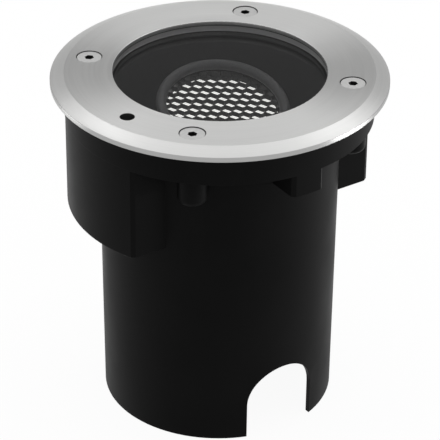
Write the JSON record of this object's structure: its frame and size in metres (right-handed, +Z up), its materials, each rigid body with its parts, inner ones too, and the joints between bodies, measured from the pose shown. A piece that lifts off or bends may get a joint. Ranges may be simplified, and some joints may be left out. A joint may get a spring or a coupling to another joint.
{
  "type": "recessed ground light",
  "caption": "In-ground uplight: steel trim over thick glass, tilting lamp with honeycomb louvre in a sealed housing, and a black sleeve with cable arches.",
  "frame": {"origin": "centre of the sleeve's bottom rim", "axes": "+Z up through the glass; the cable arches open towards -Y and +Y"},
  "size_m": [0.16, 0.16, 0.1726],
  "materials": {
    "black_abs": "fine moulded texture",
    "brass": "machined",
    "brushed_stainless": "circular brushed",
    "stainless_screw": "turned",
    "tempered_glass": "polished",
    "black_silicone": "matt",
    "grey_silicone": "matt",
    "black_die_cast": "satin powder coat",
    "black_polyamide": "moulded",
    "white_polyamide": "moulded",
    "zinc_plated_steel": "bright zinc plate",
    "black_steel_sheet": "satin paint",
    "grey_bezel": "satin paint",
    "black_louvre": "matt anodised",
    "white_lamp_shell": "moulded",
    "frosted_lens": "frosted",
    "nickel_pins": "nickel plate",
    "steatite": "unglazed ceramic"
  },
  "bodies": {
    "fixed": {"mounting_sleeve": "black_abs", "threaded_inserts": "brass", "trim_ring": "brushed_stainless", "trim_screws": "stainless_screw", "glass_lens": "tempered_glass", "glass_gasket": "grey_silicone", "lamp_housing": "black_die_cast", "gland_body": "black_polyamide", "gland_washer": "black_silicone", "gland_locknut": "black_polyamide", "gland_nut": "black_polyamide", "gland_seal": "black_silicone", "terminal_block": "white_polyamide", "terminal_screws": "zinc_plated_steel", "terminal_fixing_screws": "zinc_plated_steel", "earth_screw": "brass", "earth_washer": "brass", "pan_screw": "zinc_plated_steel", "pan_washer": "zinc_plated_steel"},
    "yoke": {"yoke_bracket": "black_steel_sheet"},
    "lamp_unit": {"pivot_screws": "zinc_plated_steel", "pivot_washers": "black_polyamide", "lamp_carrier": "black_die_cast", "lamp_bezel": "grey_bezel", "honeycomb_louvre": "black_louvre", "louvre_spacer": "black_silicone", "lamp_shell": "white_lamp_shell", "lamp_lens": "frosted_lens", "lamp_pins": "nickel_pins", "lamp_holder": "steatite"}
  },
  "joints": [
    {"name": "lamp_pan", "type": "hinge", "parent": "fixed", "child": "yoke", "pos_m": [0, 0, 0.067], "axis": [0, 0, 1], "range_deg": [-175, 175]},
    {"name": "lamp_tilt", "type": "hinge", "parent": "yoke", "child": "lamp_unit", "pos_m": [0, 0, 0.1332], "axis": [0.9755, -0.2198, 0], "range_deg": [-31, 2]}
  ]
}
